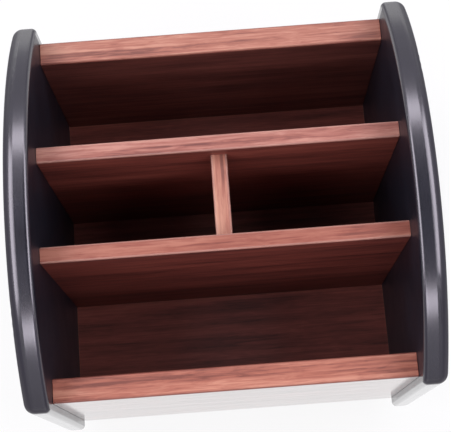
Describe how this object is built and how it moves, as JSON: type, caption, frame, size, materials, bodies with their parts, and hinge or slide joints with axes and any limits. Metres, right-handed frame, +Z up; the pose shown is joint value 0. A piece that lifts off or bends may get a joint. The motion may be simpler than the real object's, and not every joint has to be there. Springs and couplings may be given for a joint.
{
  "type": "rotating pen holder",
  "caption": "Free-standing desk organizer of wood-grain boards between two arched black side panels, with open bays for pens, turning on a ball-bearing turntable base.",
  "frame": {"origin": "on the desk, on the axis that the case turns about", "axes": "+Z up along the turning axis, front towards -Y, X across the two side panels"},
  "size_m": [0.201, 0.195, 0.1855],
  "materials": {
    "wood_grain_board": "red-brown wood grain, glossy",
    "black_lacquer": "black satin-gloss lacquer on fibreboard",
    "base_lacquer": "black satin lacquer on fibreboard",
    "dowel_wood": "bare beech",
    "plated_steel": "zinc-plated pressed steel",
    "screw_steel": "zinc-plated steel",
    "ball_steel": "polished steel",
    "cage_nylon": "natural nylon",
    "foot_rubber": "matt black rubber"
  },
  "bodies": {
    "base": {"turntable_base": "base_lacquer", "lower_bearing_plate": "plated_steel", "lower_plate_screws": "screw_steel", "front_left_foot": "foot_rubber", "front_right_foot": "foot_rubber", "rear_left_foot": "foot_rubber", "rear_right_foot": "foot_rubber"},
    "case": {"left_side_panel": "black_lacquer", "right_side_panel": "black_lacquer", "front_board": "wood_grain_board", "back_board": "wood_grain_board", "bottom_board": "wood_grain_board", "front_divider": "wood_grain_board", "rear_divider": "wood_grain_board", "centre_divider": "wood_grain_board", "front_board_dowels": "dowel_wood", "back_board_dowels": "dowel_wood", "bottom_board_dowels": "dowel_wood", "front_divider_dowels": "dowel_wood", "rear_divider_dowels": "dowel_wood", "upper_bearing_plate": "plated_steel", "upper_plate_screws": "screw_steel"},
    "ball_ring": {"ball_cage": "cage_nylon", "bearing_balls": "ball_steel"}
  },
  "joints": [
    {"name": "swivel", "type": "hinge", "parent": "base", "child": "case", "pos_m": [0, 0, 0.019], "axis": [0, 0, 1], "continuous": true},
    {"name": "ball_ring_roll", "type": "hinge", "parent": "base", "child": "ball_ring", "pos_m": [0, 0, 0.019], "axis": [0, 0, 1], "continuous": true}
  ],
  "couplings": [
    {"joint": "ball_ring_roll", "follows": "swivel", "ratio": 0.5}
  ]
}
